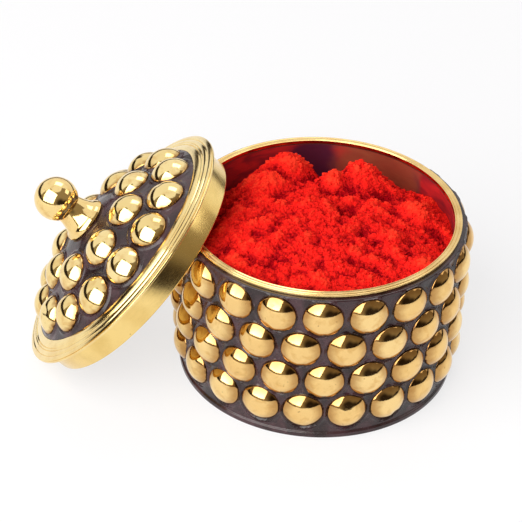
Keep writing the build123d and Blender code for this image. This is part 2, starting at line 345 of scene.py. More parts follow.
def lid_stud_ring(inset, phase):
    """The seats of one ring of studs on the lac dome, in the lid's own frame."""
    radius = lid_ring_bore_radius - inset
    height, slope = dome_point(radius)
    count = int(2 * pi * radius / (2 * lid_stud_radius + lid_stud_gap))
    turns = [radians(phase + place * 360 / count) for place in range(count)]
    return [
        ((radius * cos(turn), radius * sin(turn), height), (sin(slope) * cos(turn), sin(slope) * sin(turn), cos(slope)))
        for turn in turns]


def lid_place():
    """Where the lid lies, as in the model: on its collar's edge, leaning on the box's mouth."""
    tilt = asin(box_height / (collar_radius * (1 + lean_share)))
    half_chord = sqrt(collar_bore_radius ** 2 - (lean_share * collar_radius) ** 2)
    standoff = sqrt((mouth_ring_radius + lean_gap) ** 2 - half_chord ** 2) + box_height / tan(tilt)
    away = Vector((cos(radians(lean_azimuth)), sin(radians(lean_azimuth)), 0))
    up = Vector((0, 0, 1))
    axis = away * sin(tilt) + up * cos(tilt)
    down_slope = away * cos(tilt) - up * sin(tilt)
    edge_lift = collar_edge_round * (sin(tilt) + cos(tilt) - 1)
    middle = away * standoff - down_slope * collar_radius + axis * collar_depth - up * edge_lift
    turn = Matrix((down_slope, axis.cross(down_slope), axis)).transposed()
    return Matrix.Translation(middle * metres) @ turn.to_4x4()


def drawn_up(points, seats, radius):
    """Draws the lac up round every stud, as soft lac is when a stud is pressed in."""
    for middle, facing in seats:
        facing = np.array(facing)
        offset = points - np.array(middle)
        along = offset @ facing
        apart = np.linalg.norm(offset - along[:, None] * facing, axis=1)
        near = (apart < radius + lac_reach) & (np.abs(along) < lac_reach)
        level = along[near]
        out = apart[near] - radius
        fill = -lac_fill_drop - lac_fill_fall * np.maximum(out, 0)
        filled = (level + fill + np.sqrt((level - fill) ** 2 + lac_fill_blend ** 2)) / 2
        ridge = lac_ridge_rise * np.exp(-((out - lac_ridge_out) / lac_ridge_width) ** 2)
        dip = lac_dip_depth * np.exp(-(out / lac_dip_width) ** 2)
        fade = np.clip(lac_reach - out, 0, 1) * (out > -lac_ridge_out)
        points[near] += ((filled - level + ridge - dip) * fade)[:, None] * facing
    return points


def waved(points, outward):
    """Adds the slow waves and small ripples of hand-worked lac."""
    for place, (spot, way) in enumerate(zip(points, outward)):
        wave = lac_wave_rise * noise.noise(Vector(spot) / lac_wave_size)
        ripple = lac_ripple_rise * noise.noise(Vector(spot) / lac_ripple_size)
        points[place] += (wave + ripple) * way
    return points


def box_lac(rows, finish):
    """The dark coat: a flared foot, a wall drawn up round the studs, and a shoulder under the mouth ring."""
    plate_edge = lac_foot_radius - base_plate_inset
    foot_edge = lac_foot_radius + lac_foot_flare
    shoulder = lac_top_height - lac_shoulder
    low = rounded([
        (plate_edge, base_plate_thickness, 0), (plate_edge, 0, 0.1), (foot_edge, 0, 0.2),
        (foot_edge, lac_foot_ledge, 0.25), (lac_foot_radius, lac_foot_ledge + 0.3, 0.6), (lac_radius(6), 6, 0)])
    low = [point for point in low if point[1] < lac_foot_height + 1.5]
    start = low[-1][1]
    steps = int((shoulder - start) / lac_step)
    wall = [(lac_radius(start + (shoulder - start) * step / steps),
             start + (shoulder - start) * step / steps) for step in range(1, steps)]
    high = rounded([
        (lac_radius(shoulder), shoulder, 0), (lac_top_radius, lac_top_height, lac_shoulder),
        (cup_outer_radius, lac_top_height, 0)], steps=6)
    inner = [(cup_outer_radius, base_plate_thickness)]
    outline = low + wall + high + inner
    points, faces = turned(outline, lac_sides)
    on_wall = (points[:, 2] > lac_foot_height * 0.4) & (points[:, 2] < lac_top_height - lac_shoulder * 0.3)
    on_wall &= np.hypot(points[:, 0], points[:, 1]) > lac_foot_radius - 0.2
    outward = points[on_wall] * (1, 1, 0)
    outward /= np.linalg.norm(outward, axis=1)[:, None]
    wall_points = drawn_up(points[on_wall], [seat for row in rows for seat in row], stud_radius)
    points[on_wall] = waved(wall_points, outward)
    return add_piece("box_lac_coat", points, faces, finish, "box", "lac", ["body_lac"])


def lid_lac(rings, place, finish):
    """The lid's dark dome, drawn up round its studs."""
    surface = arc_through(*lid_surface_arc(), 90)
    crown = arc_through(
        (knob_foot_radius, crown_top_height),
        arc_point((knob_foot_radius, crown_top_height), (crown_dome_radius, 0), -lid_dome_bulge),
        (crown_dome_radius, 0), 20)
    middle = [(rivet_hole_radius, lid_dome_height), (rivet_hole_radius, crown_top_height)]
    outline = surface + middle + crown + [(lid_ring_bore_radius, 0)]
    points, faces = turned(outline, lid_lac_sides)
    shown = np.arange(len(points)) < len(surface) * lid_lac_sides
    inside = np.hypot(points[:, 0], points[:, 1]) < lid_ring_bore_radius - 0.05
    dome = shown & inside
    raised = drawn_up(points[dome], [seat for ring in rings for seat in ring], lid_stud_radius)
    points[dome] = waved(raised, np.tile(np.array([0.0, 0.0, 1.0]), (len(raised), 1)))
    return add_piece("lid_lac_dome", points, faces, finish, "lid", "lac", ["lid_lac"], place)


def stud_shape(radius, height):
    """Points and faces of one stud: a dome with a rounded rim, on a short skirt that goes down into the lac."""
    rim_middle = radius - stud_rim_round
    sphere = (rim_middle ** 2 + height ** 2 - stud_rim_round ** 2) / (2 * (height - stud_rim_round))
    turn = asin(rim_middle / (sphere - stud_rim_round))
    angles = [turn * ring / stud_rings for ring in range(stud_rings + 1)]
    dome = [(sphere * sin(angle), height - sphere + sphere * cos(angle)) for angle in angles]
    angles = [turn + (pi / 2 - turn) * ring / stud_rim_rings for ring in range(1, stud_rim_rings + 1)]
    rim = [(rim_middle + stud_rim_round * sin(angle), stud_rim_round * cos(angle)) for angle in angles]
    skirt = [(radius, -stud_skirt), (0, -stud_skirt)]
    return turned(dome + rim + skirt, stud_sides)


def dented(points, radius, chance):
    """Presses one shallow dent into a stud, somewhere between its top and its rim."""
    out = chance.uniform(0.2, 0.7) * radius
    turn = chance.uniform(0, 2 * pi)
    long_way = chance.uniform(0, pi)
    across = points[:, 0] - out * cos(turn)
    away = points[:, 1] - out * sin(turn)
    along = across * cos(long_way) + away * sin(long_way)
    beside = away * cos(long_way) - across * sin(long_way)
    near = (along / stud_dent_radius) ** 2 + (1.6 * beside / stud_dent_radius) ** 2
    points[:, 2] -= chance.uniform(0.4, 1.0) * stud_dent_depth * np.exp(-near ** 2)


def studs(name, seats, radius, height, finish, body, slot, node, seed, place=None):
    """All studs of one row as one piece, each with its own slight tilt, size and dents."""
    chance = random.Random(seed)
    shape, shape_faces = stud_shape(radius, height)
    all_points = []
    all_faces = []
    for number, (middle, facing) in enumerate(seats):
        facing = Vector(facing)
        lean = facing.orthogonal().normalized()
        lean.rotate(Matrix.Rotation(chance.uniform(0, 2 * pi), 3, facing))
        turn = Matrix.Rotation(radians(chance.uniform(-stud_tilt, stud_tilt)), 3, lean)
        turn = turn @ facing.to_track_quat("Z", "Y").to_matrix()
        stretch = 1 + chance.uniform(-stud_size_change, stud_size_change)
        seat = Vector(middle) - facing * chance.uniform(stud_sink_least, stud_sink_most)
        depth = stud_wave_depth * chance.choice((0.5, 0.8, 1.0, 1.4, 2.2))
        own = shape * (stretch, 2 - stretch, 1)
        for spot in own:
            near = Vector(spot) / stud_wave_size + Vector((seed, number * 7.3, 0))
            spot[2] += depth * noise.noise(near)
        if chance.random() < stud_dent_share:
            dented(own, radius, chance)
        all_points.append(own @ np.array(turn).T + np.array(seat))
        all_faces.append(shape_faces + number * len(shape))
    # Each point's share of the way out to the rim, kept as 'relief', which the stud finish turns into a painted darker
    # reflection and a painted shadow line at the rim.
    to_rim = np.clip(np.hypot(shape[:, 0], shape[:, 1]) / radius, 0, 1)
    to_rim[shape[:, 2] < 0] = 1
    return add_piece(
        name, np.concatenate(all_points), np.concatenate(all_faces), finish, body, slot, [node], place,
        np.tile(to_rim, len(seats)))


def box_cup(finish):
    outline = rounded([
        (0, base_plate_thickness, 0), (cup_outer_radius, base_plate_thickness, 0.2),
        (cup_outer_radius, lac_top_height, 0), (cup_bore_radius, lac_top_height, 0),
        (cup_bore_radius, heap_floor_height, 0.8), (0, heap_floor_height, 0)])
    return add_piece("box_cup_shell", *turned(outline, turned_sides), finish, "box", "cup_brass", ["inner_cup"])


def box_mouth(finish):
    """Flat ring with a fine turned line near each edge and a rounded bead outside."""
    top = box_height
    line = top - mouth_line_depth
    bead = mouth_ring_radius - mouth_bead_width
    first = cup_bore_radius + 2 * mouth_line_width
    second = bead - mouth_line_width
    outline = rounded([
        (mouth_ring_radius - 0.15, lac_top_height, 0), (cup_bore_radius, lac_top_height, 0),
        (cup_bore_radius, top - 0.05, 0.15), (first - mouth_line_width / 2, top, 0.05), (first, line, 0.03),
        (first + mouth_line_width / 2, top - 0.02, 0.1), (second - mouth_line_width / 2, top, 0.1),
        (second, line, 0.03), (bead, top - 0.04, 0.15), (mouth_ring_radius - 0.02, top - 0.03, 0.4),
        (mouth_ring_radius, top - 2 * mouth_bead_width + 0.1, 0.3)])
    return add_piece(
        "box_mouth_band", *turned(outline, turned_sides), finish, "box", "ring_brass", ["mouth_ring"])


def lid_ring(place, finish):
    """Sloping ring whose face is a few soft bands with fine grooves between them."""
    slope = (lid_ring_inner_height - lid_ring_edge_height) / lid_ring_width
    marks = [lid_ring_radius - 0.1]
    for share in lid_groove_shares:
        marks.append(lid_ring_radius - lid_ring_width * share)
    marks.append(lid_ring_bore_radius + 0.1)
    outline = rounded([
        (lid_ring_bore_radius, 0, 0), (lid_ring_radius, 0, 0.2), (lid_ring_radius, lid_ring_edge_height - 0.1, 0.25)])

    def face_height(radius):
        return lid_ring_edge_height + slope * (lid_ring_radius - radius)

    for number, (outer, inner) in enumerate(zip(marks, marks[1:])):
        for step in range(11):
            share = step / 10
            radius = outer + (inner - outer) * share
            edge = min(share, 1 - share) * (outer - inner)
            at_groove = (share < 0.5 and number > 0) or (share >= 0.5 and number < len(marks) - 2)
            dip = lid_groove_depth * max(0, 1 - 2 * edge / lid_groove_width) if at_groove else 0
            bulge = lid_band_bulge * 4 * share * (1 - share)
            outline.append((radius, face_height(radius) + bulge - dip))
    outline.append((lid_ring_bore_radius, lid_ring_inner_height - 0.2))
    return add_piece(
        "lid_ring_turned", *turned(outline, turned_sides), finish, "lid", "ring_brass", ["lid_rim_ring"], place)


def lid_band(place, finish):
    """The satin band that plugs into the cup, with a rounded lower edge."""
    low = -collar_depth
    outline = rounded([
        (collar_radius, 0, 0), (collar_bore_radius, 0, 0), (collar_bore_radius, low, 0.15),
        (collar_radius, low, 1.3 * collar_edge_round)])
    return add_piece(
        "lid_band_turned", *turned(outline, turned_sides), finish, "lid", "satin_brass", ["lid_collar"], place)


def lid_knob(place, finish):
    """Ball on a neck that flares to a rounded foot."""
    foot = lid_dome_height
    neck_top = foot + knob_neck_length
    middle = neck_top + sqrt(knob_ball_radius ** 2 - knob_neck_radius ** 2)
    shoulder_low = (knob_foot_radius, foot + knob_foot_round / 2)
    shoulder_high = (knob_foot_radius - knob_foot_round, foot + 2 * knob_foot_round)
    neck_end = (knob_neck_radius, neck_top)
    shoulder = arc_through(
        shoulder_low, arc_point(shoulder_low, shoulder_high, knob_foot_round / 4), shoulder_high, 6)
    neck = arc_through(shoulder_high, arc_point(shoulder_high, neck_end, -knob_foot_round / 6), neck_end, 12)
    ball = arc_through(neck_end, (knob_ball_radius, middle), (0, middle + knob_ball_radius), 40)
    bore = [
        (0, foot + rivet_grip), (rivet_hole_radius, foot + rivet_grip), (rivet_hole_radius, foot),
        (knob_foot_radius - knob_foot_round / 2, foot)]
    outline = bore + shoulder + neck[1:] + ball[1:]
    return add_piece(
        "lid_knob_turned", *turned(outline, 128), finish, "lid", "knob_brass", ["lid_knob"], place)


# Mounds and hollows of the powder, as in the model: places as shares of its radius, heights of the tops or
# bottoms above the mouth, and how steeply the sides fall
powder_mounds = (
    (-0.28, 0.60, 5.3, 1.25),
    (-0.40, 0.38, 3.6, 1.0),
    (0.30, 0.51, 5.6, 1.25),
    (0.08, 0.40, 3.4, 1.0),
    (-0.10, 0.10, 2.8, 0.7),
    (0.70, 0.12, 1.7, 0.9),
    (0.52, -0.32, 1.6, 0.7),
    (-0.45, -0.20, 1.8, 0.7),
    (0.05, -0.45, 1.8, 0.7),
    (0.72, -0.55, 0.6, 0.7),
)
powder_hollows = (
    (0.18, 0.06, -2.4, 1.0),
    (0.71, -0.12, -1.8, 0.9),
    (0.46, 0.27, -1.2, 0.9),
    (0.23, -0.58, -1.0, 0.8),
    (0.38, -0.44, -0.8, 0.8),
    (1.02, 0.15, -5.0, 1.0),
    (-0.86, 0.16, -4.0, 1.1),
    (-0.30, -0.62, -0.4, 0.6),
)


def blended(first, second, sign):
    """The greater of two heights (sign 1) or the lesser (sign -1), with a smooth change between them."""
    return (first + second + sign * np.sqrt((first - second) ** 2 + powder_blend ** 2)) / 2


def powder_height(x, y):
    """Height of the powder: a broad crown that falls off behind and to the left, with mounds and hollows."""
    top = box_height + powder_crown_rise
    across = x + 0.05 * powder_radius
    away = y + 0.15 * powder_radius
    height = top - (across ** 2 + away ** 2) / (2 * powder_crown_curve)
    behind = y - 0.35 * powder_radius
    height = blended(height, top - tan(radians(powder_back_slope)) * behind, -1)
    leftward = y * sin(radians(20)) - x * cos(radians(20)) - 0.58 * powder_radius
    height = blended(height, top - tan(radians(powder_left_slope)) * leftward, -1)
    for sign, shapes in ((1, powder_mounds), (-1, powder_hollows)):
        for share_across, share_away, rise, slope in shapes:
            distance = np.hypot(x - share_across * powder_radius, y - share_away * powder_radius)
            tip = box_height + rise + sign * powder_blend * slope
            height = blended(height, tip - sign * slope * np.hypot(distance, powder_blend), sign)
    ripple_x = x / powder_ripple_size + 1.3 * np.sin(0.6 * y / powder_ripple_size)
    ripple_y = y / powder_ripple_size + 1.1 * np.sin(0.7 * x / powder_ripple_size)
    return height + powder_ripple_rise * np.sin(ripple_x) * np.sin(ripple_y)


def powder_relief(x, y):
    """Swells, clods, lumps and grains, which die down where the powder meets the cup."""
    relief = np.empty(len(x))
    for place, (across, away) in enumerate(zip(x.tolist(), y.tolist())):
        spot = Vector((across, away, 0))
        bent = spot + noise.noise_vector(spot / crack_size) * crack_shift
        swell = noise.fractal(spot / swell_size, 0.9, 2.1, 4)
        clod = 0.2 - noise.voronoi(bent / clod_size)[0][0] ** 2
        lump = 0.2 - noise.voronoi(bent / lump_size)[0][0] ** 2
        grain = noise.fractal(spot / grain_size, 0.8, 2.0, 2)
        relief[place] = swell_rise * swell + clod_rise * clod + lump_rise * lump + grain_rise * grain
    rim = np.clip((powder_radius - np.hypot(x, y)) / powder_rim_fade, 0, 1)
    return relief * (0.3 + 0.7 * rim)


def powder_openness(x, y):
    """How much the powder's main form stands out of what lies round it: below 0 in a pit, above 0 on a crest. Used for
    painted shade and painted light.
    """
    around = 0
    for turn in np.arange(8) * pi / 4:
        around = around + powder_height(x + openness_reach * cos(turn), y + openness_reach * sin(turn)) / 8
    return np.clip(openness_share * (powder_height(x, y) - around), -openness_most, openness_most)


def crumb_ball():
    """Points and faces of a small round shape that the loose crumbs are bent from."""
    shape = bmesh.new()
    bmesh.ops.create_icosphere(shape, subdivisions=1, radius=1)
    points = np.array([vertex.co for vertex in shape.verts])
    faces = np.array([[vertex.index for vertex in face.verts] for face in shape.faces])
    shape.free()
    return points, faces


def powder(finish):
    """The powder that fills the cup. Its relief and openness are kept on its points, as painted shade in its hollows
    and painted light on its crests.
    """
    radii = np.linspace(0, powder_radius, powder_rings)
    outline = [(radius, 0) for radius in radii] + [(powder_radius, heap_floor_height), (0, heap_floor_height)]
    points, faces = turned(outline, powder_sectors)
    top = points[powder_sectors:powder_rings * powder_sectors]
    relief = powder_relief(top[:, 0], top[:, 1])
    top[:, 2] = powder_height(top[:, 0], top[:, 1]) + relief
    # The openness goes into the marks only, for painted shade in pits and painted light on crests.
    relief += powder_openness(top[:, 0], top[:, 1])
    points[:powder_sectors, 2] = top[:powder_sectors, 2].mean()
    relief = np.concatenate([np.full(powder_sectors, relief[:powder_sectors].mean()), relief, np.zeros(2 * powder_sectors)])
    add_piece("powder_fill", points, faces, finish, "box", "kumkum_powder", ["kumkum_heap"], marks=relief)


def crumbs(finish):
    """Loose crumbs that lie on the powder."""
    chance = random.Random(7)
    ball, ball_faces = crumb_ball()
    spots = []
    for number in range(crumb_count):
        out = (powder_radius - 1) * sqrt(chance.random())
        turn = chance.uniform(0, 2 * pi)
        size = crumb_least + (crumb_most - crumb_least) * chance.random() ** 3
        spots.append((out * cos(turn), out * sin(turn), size))
    spots = np.array(spots)
    relief = powder_relief(spots[:, 0], spots[:, 1])
    seats = powder_height(spots[:, 0], spots[:, 1]) + relief
    all_points = []
    all_faces = []
    for number, ((across, away, size), seat) in enumerate(zip(spots, seats)):
        own = ball * size * (chance.uniform(0.8, 1.3), chance.uniform(0.8, 1.3), chance.uniform(0.6, 1))
        for spot in own:
            spot *= 1 + 0.35 * noise.noise(Vector(spot) * 2.2 / size + Vector((0, 0, number)))
        all_points.append(own + (across, away, seat + size * 0.2))
        all_faces.append(ball_faces + number * len(ball))
    # The crumbs get the same marks, for the same painted shade and painted light as the powder under them.
    marks = np.repeat(relief + powder_openness(spots[:, 0], spots[:, 1]), len(ball))
    add_piece("powder_crumbs", np.concatenate(all_points), np.concatenate(all_faces), finish, "box",
              "kumkum_powder", [], marks=marks)


class Finish:
    """A node material, with a short way to add nodes and join them."""

    def __init__(self, name, place=None):
        self.material = bpy.data.materials.new(name)
        self.material.use_nodes = True
        self.tree = self.material.node_tree
        self.shader = self.tree.nodes["Principled BSDF"]
        self.spot = self.add("ShaderNodeTexCoord").outputs["Object"]
        if place is not None:
            inputs = {"Vector": self.spot, "Location": place.translation, "Rotation": place.to_euler()}
            self.spot = self.add("ShaderNodeMapping", inputs, vector_type="TEXTURE").outputs[0]

    def add(self, kind, inputs=None, **settings):
        node = self.tree.nodes.new(kind)
        for name, value in settings.items():
            setattr(node, name, value)
        for name, value in (inputs or {}).items():
            self.put(node.inputs[name], value)
        return node

    def put(self, socket, value):
        if isinstance(value, bpy.types.NodeSocket):
            self.tree.links.new(value, socket)
        else:
            socket.default_value = value

    def shade(self, **inputs):
        for name, value in inputs.items():
            self.put(self.shader.inputs[name.replace("_", " ")], value)

    def sum(self, operation, first, second=0.0, third=0.0):
        node = self.add("ShaderNodeMath", operation=operation)
        for socket, value in zip(node.inputs, (first, second, third)):
            self.put(socket, value)
        return node.outputs[0]

    def noise(self, size, detail=3.0, spot=None, distortion=0.0):
        """Soft noise whose features are about size millimetres across."""
        inputs = {"Vector": spot or self.spot, "Scale": 1 / (size * metres), "Detail": detail, "Distortion": distortion}
        return self.add("ShaderNodeTexNoise", inputs).outputs["Fac"]

    def spread(self, value, low, high, to_low=0.0, to_high=1.0):
        inputs = {"Value": value, "From Min": low, "From Max": high, "To Min": to_low, "To Max": to_high}
        return self.add("ShaderNodeMapRange", inputs, interpolation_type="SMOOTHSTEP").outputs[0]

    def mix(self, share, first, second):
        node = self.add("ShaderNodeMix", data_type="RGBA")
        for socket, value in zip((node.inputs[0], node.inputs[6], node.inputs[7]), (share, first, second)):
            self.put(socket, value)
        return node.outputs[2]

    def near(self, middle, size, wobble):
        """1 near a place in millimetres and 0 beyond size from it, with a ragged edge."""
        inputs = {0: self.spot, 1: Vector(middle) * metres}
        apart = self.add("ShaderNodeVectorMath", inputs, operation="DISTANCE").outputs["Value"]
        share = self.sum("ADD", self.sum("DIVIDE", apart, size * metres), wobble)
        return self.spread(share, 1.1, 0.7)

    def bump(self, height, depth, under=None, strength=1.0):
        inputs = {"Height": height, "Distance": depth * metres, "Strength": strength}
        if under is not None:
            inputs["Normal"] = under
        return self.add("ShaderNodeBump", inputs).outputs[0]

    def round_spot(self, stretch=0.0):
        """Coordinates that run only outwards and along the axis, for marks left by turning on a lathe."""
        parts = self.add("ShaderNodeSeparateXYZ", {"Vector": self.spot}).outputs
        out = self.sum("SQRT", self.sum("ADD", self.sum("MULTIPLY", parts[0], parts[0]), self.sum("MULTIPLY", parts[1], parts[1])))
        along = self.sum("MULTIPLY", parts[0], stretch)
        return self.add("ShaderNodeCombineXYZ", {"X": out, "Y": along, "Z": parts[2]}).outputs[0]

    def height(self):
        return self.add("ShaderNodeSeparateXYZ", {"Vector": self.spot}).outputs[2]


def colour(red, green, blue):
    return (red, green, blue, 1.0)


def polished_brass(name, bright, deep, rim_start=None):
    """Mirror brass with slow changes of tone, faint dark specks and small wobbles in its reflections.

    Where rim_start is given, the metal turns brown beyond that share of a stud's radius as a painted darker reflection,
    and near-black at the rim as a painted shadow line.
    """
    finish = Finish(name)
    island = finish.add("ShaderNodeNewGeometry").outputs["Random Per Island"]
    tone = finish.sum("MULTIPLY_ADD", island, 0.5, finish.sum("MULTIPLY", finish.noise(9), 0.5))
    base = finish.mix(finish.spread(tone, 0.2, 0.85), colour(*bright), colour(*deep))
    specks = finish.spread(finish.noise(1.1, 6, distortion=0.6), 0.66, 0.76)
    smears = finish.spread(finish.noise(3.5, 4), 0.52, 0.8)
    base = finish.mix(finish.sum("MULTIPLY", specks, 0.6), base, colour(0.30, 0.15, 0.04))
    tarnish = finish.spread(finish.noise(2.6, 5, distortion=0.5), 0.48, 0.72)
    base = finish.mix(finish.sum("MULTIPLY", tarnish, 0.55), base, colour(0.70, 0.40, 0.12))
    rough = finish.spread(smears, 0, 1, 0.07, 0.15)
    rough = finish.sum("ADD", rough, finish.sum("MULTIPLY", specks, 0.2))
    if rim_start is not None:
        out = finish.add("ShaderNodeAttribute", attribute_name="relief").outputs["Fac"]
        ragged = finish.sum("MULTIPLY_ADD", finish.sum("SUBTRACT", finish.noise(1.3, 4), 0.5), 0.22, out)
        # Brown beyond rim_start: a painted darker reflection of the lac and shaded floor that a stud's edge mirrors.
        base = finish.mix(finish.spread(ragged, rim_start, 1.0, 0.0, 0.85), base, colour(0.42, 0.21, 0.06))
        # Near-black at the very rim: a painted shadow line where the stud meets the lac. This band is also made
        # rougher.
        wear_and_painted_shade = finish.spread(ragged, 0.96, 1.04)
        base = finish.mix(wear_and_painted_shade, base, colour(0.09, 0.035, 0.02))
        rough = finish.sum("ADD", rough, finish.sum("MULTIPLY", wear_and_painted_shade, 0.25))
    scratches = finish.noise(0.35, 2, distortion=1.5)
    normal = finish.bump(scratches, 0.004, finish.bump(finish.noise(2.2, 1), 0.02))
    finish.shade(Base_Color=base, Metallic=1.0, Roughness=rough, Normal=normal)
    return finish.material


def turned_brass(name, bright, deep, rough_low, rough_high, mark_depth, place=None):
    """Brass with the fine round marks of a lathe, a little dirt in faint dark specks and dulled patches."""
    finish = Finish(name, place)
    marks = finish.noise(0.10, 2, finish.round_spot(0.004))
    patches = finish.noise(6, 4)
    base = finish.mix(finish.spread(patches, 0.3, 0.75), colour(*bright), colour(*deep))
    specks = finish.spread(finish.noise(0.9, 6, distortion=0.8), 0.68, 0.78)
    base = finish.mix(finish.sum("MULTIPLY", specks, 0.5), base, colour(0.25, 0.13, 0.05))
    blend = finish.sum("MULTIPLY_ADD", marks, 0.6, finish.sum("MULTIPLY", patches, 0.4))
    rough = finish.spread(blend, 0.3, 0.7, rough_low, rough_high)
    normal = finish.bump(marks, mark_depth, finish.bump(finish.noise(5, 1), 0.03))
    finish.shade(Base_Color=base, Metallic=1.0, Roughness=rough, Normal=normal)
    return finish.material


def stained_brass(name):
    """The cup's wall: brass under streaks and smears of red powder, darker where it has stained for long."""
    finish = Finish(name)
    streak_spot = finish.add("ShaderNodeMapping", {"Vector": finish.spot, "Scale": (0.5, 0.5, 1.8)}).outputs[0]
    streaks = finish.noise(4, 6, streak_spot, 0.6)
    clouds = finish.noise(9, 3)
    wobble = finish.sum("MULTIPLY", finish.sum("SUBTRACT", clouds, 0.5), 0.7)
    brass = finish.mix(streaks, colour(0.50, 0.20, 0.08), colour(0.28, 0.07, 0.04))
    dust = finish.mix(finish.spread(streaks, 0.35, 0.65), colour(0.20, 0.002, 0.010), colour(0.48, 0.008, 0.010))
    for middle, size in cup_stains:
        dust = finish.mix(finish.near(middle, size, wobble), dust, colour(0.075, 0.001, 0.022))
    thin = finish.mix(0.45, brass, colour(0.34, 0.010, 0.012))
    bare = finish.near(*cup_bare, wobble)
    base = finish.mix(bare, dust, thin)
    # A dark band just under the mouth ring's inner edge: a painted shadow line under the ring's lip.
    edge = finish.spread(finish.height(), (lac_top_height - 0.5) * metres, (lac_top_height - 0.1) * metres)
    base = finish.mix(edge, base, colour(0.07, 0.015, 0.01))
    metal = finish.sum("MULTIPLY", bare, 0.35)
    rough = finish.sum("MULTIPLY_ADD", metal, -0.45, 0.62)
    normal = finish.bump(streaks, 0.10)
    finish.shade(Base_Color=base, Metallic=metal, Roughness=rough, Normal=normal)
    return finish.material


def dark_lac(name):
    """Dark purple-brown lac with a worn gloss, faint streaks and dust."""
    finish = Finish(name)
    streaks = finish.noise(7, 5, distortion=0.7)
    base = finish.mix(finish.spread(streaks, 0.35, 0.65), colour(0.014, 0.005, 0.005), colour(0.052, 0.021, 0.025))
    wear_and_painted_shade = finish.spread(finish.noise(1.4, 6, distortion=0.5), 0.62, 0.76)
    base = finish.mix(finish.sum("MULTIPLY", wear_and_painted_shade, 0.4), base, colour(0.13, 0.075, 0.08))
    rough = finish.spread(finish.noise(2.0, 4), 0.35, 0.7, 0.14, 0.32)
    normal = finish.bump(finish.noise(0.5, 3), 0.012, finish.bump(finish.noise(2.5, 2), 0.05))
    finish.shade(Base_Color=base, Roughness=rough, Normal=normal, IOR=1.5)
    return finish.material


def red_powder(name):
    """Bright red powder: matt, with painted shade making it deep red in its hollows and painted light making it lighter
    on its crests.
    """
    finish = Finish(name)
    relief = finish.add("ShaderNodeAttribute", attribute_name="relief").outputs["Fac"]
    grains = finish.noise(0.6, 4)
    level = finish.sum("MULTIPLY_ADD", finish.sum("SUBTRACT", grains, 0.5), 1.6, relief)
    # Painted shade: where the marks, stirred by grain noise, are low, the red turns deep and dark as in shaded hollows.
    base = finish.mix(finish.spread(level, -1.0, 0.0), colour(0.34, 0.001, 0.005), colour(0.88, 0.016, 0.011))
    # Painted light: where the marks are high, the red turns brighter as on lit crests.
    base = finish.mix(finish.spread(level, 0.0, 0.8), base, colour(1.0, 0.046, 0.019))
    normal = finish.bump(finish.noise(0.22, 4), 0.20, finish.bump(finish.noise(0.7, 3), 0.30))
    finish.shade(Base_Color=base, Roughness=0.95, Normal=normal)
    finish.shader.inputs["Specular IOR Level"].default_value = 0.05
    return finish.material


def white_floor():
    """A white floor that keeps its shadows, and stays white where metal mirrors it."""
    finish = Finish("floor_white")
    finish.shade(Base_Color=colour(0.94, 0.93, 0.935), Roughness=0.9)
    finish.shader.inputs["Specular IOR Level"].default_value = 0.1
    path = finish.add("ShaderNodeLightPath").outputs
    seen = finish.sum("MAXIMUM", path["Is Camera Ray"], finish.sum("MAXIMUM", path["Is Glossy Ray"], path["Is Transmission Ray"]))
    glow = finish.add("ShaderNodeEmission", {"Color": colour(1, 1, 1), "Strength": 1.0}).outputs[0]
    both = finish.add("ShaderNodeMixShader", {"Fac": finish.sum("MULTIPLY", seen, floor_glow)})
    finish.tree.links.new(finish.shader.outputs[0], both.inputs[1])
    finish.tree.links.new(glow, both.inputs[2])
    output = next(node for node in finish.tree.nodes if node.type == "OUTPUT_MATERIAL")
    finish.tree.links.new(both.outputs[0], output.inputs["Surface"])
    return finish.material


def flat_card(name, corners, material):
    """A flat stage piece from corners in metres."""
    mesh = bpy.data.meshes.new(name)
    mesh.from_pydata(corners, [], [list(range(len(corners)))])
    mesh.materials.append(material)
    card = bpy.data.objects.new(name, mesh)
    bpy.context.scene.collection.objects.link(card)
    return card


def compass(azimuth, elevation):
    """The direction at an azimuth, 0 towards the camera and 90 to the right, and an elevation."""
    turn = radians(azimuth)
    rise = radians(elevation)
    return Vector((sin(turn) * cos(rise), -cos(turn) * cos(rise), sin(rise)))


def soft_box(name, azimuth, elevation, distance, width, height, radiance):
    """A rectangular lamp that faces the object. Its power follows from how bright it looks."""
    data = bpy.data.lights.new(name, "AREA")
    data.shape = "RECTANGLE"
    data.size = width
    data.size_y = height
    data.energy = 4 * width * height * radiance
    lamp = bpy.data.objects.new(name, data)
    towards = compass(azimuth, elevation)
    lamp.location = towards * distance
    lamp.rotation_mode = "QUATERNION"
    lamp.rotation_quaternion = towards.to_track_quat("Z", "Y")
    bpy.context.scene.collection.objects.link(lamp)


def screen_cloth(name, tone, dark, spots):
    """What metal mirrors of a screen: one even tone with soft dark spots, each a place in metres and a size."""
    finish = Finish(name)
    base = colour(*tone)
    for middle, size in spots:
        apart = finish.add("ShaderNodeVectorMath", {0: finish.spot, 1: middle}, operation="DISTANCE").outputs["Value"]
        base = finish.mix(finish.spread(apart, 0.5 * size, 1.2 * size), colour(*dark), base)
    finish.shade(Base_Color=colour(0, 0, 0), Roughness=1.0, Emission_Color=base, Emission_Strength=1.0)
    finish.shader.inputs["Specular IOR Level"].default_value = 0
    return finish.material


def screen(name, cloth, distance, sides):
    """A plain screen that metal mirrors and the camera doesn't see, from (azimuth, elevation) corners."""
    card = flat_card(name, [compass(across, rise) * distance for across, rise in sides], cloth)
    card.visible_camera = False
    card.visible_diffuse = False
    card.visible_shadow = False


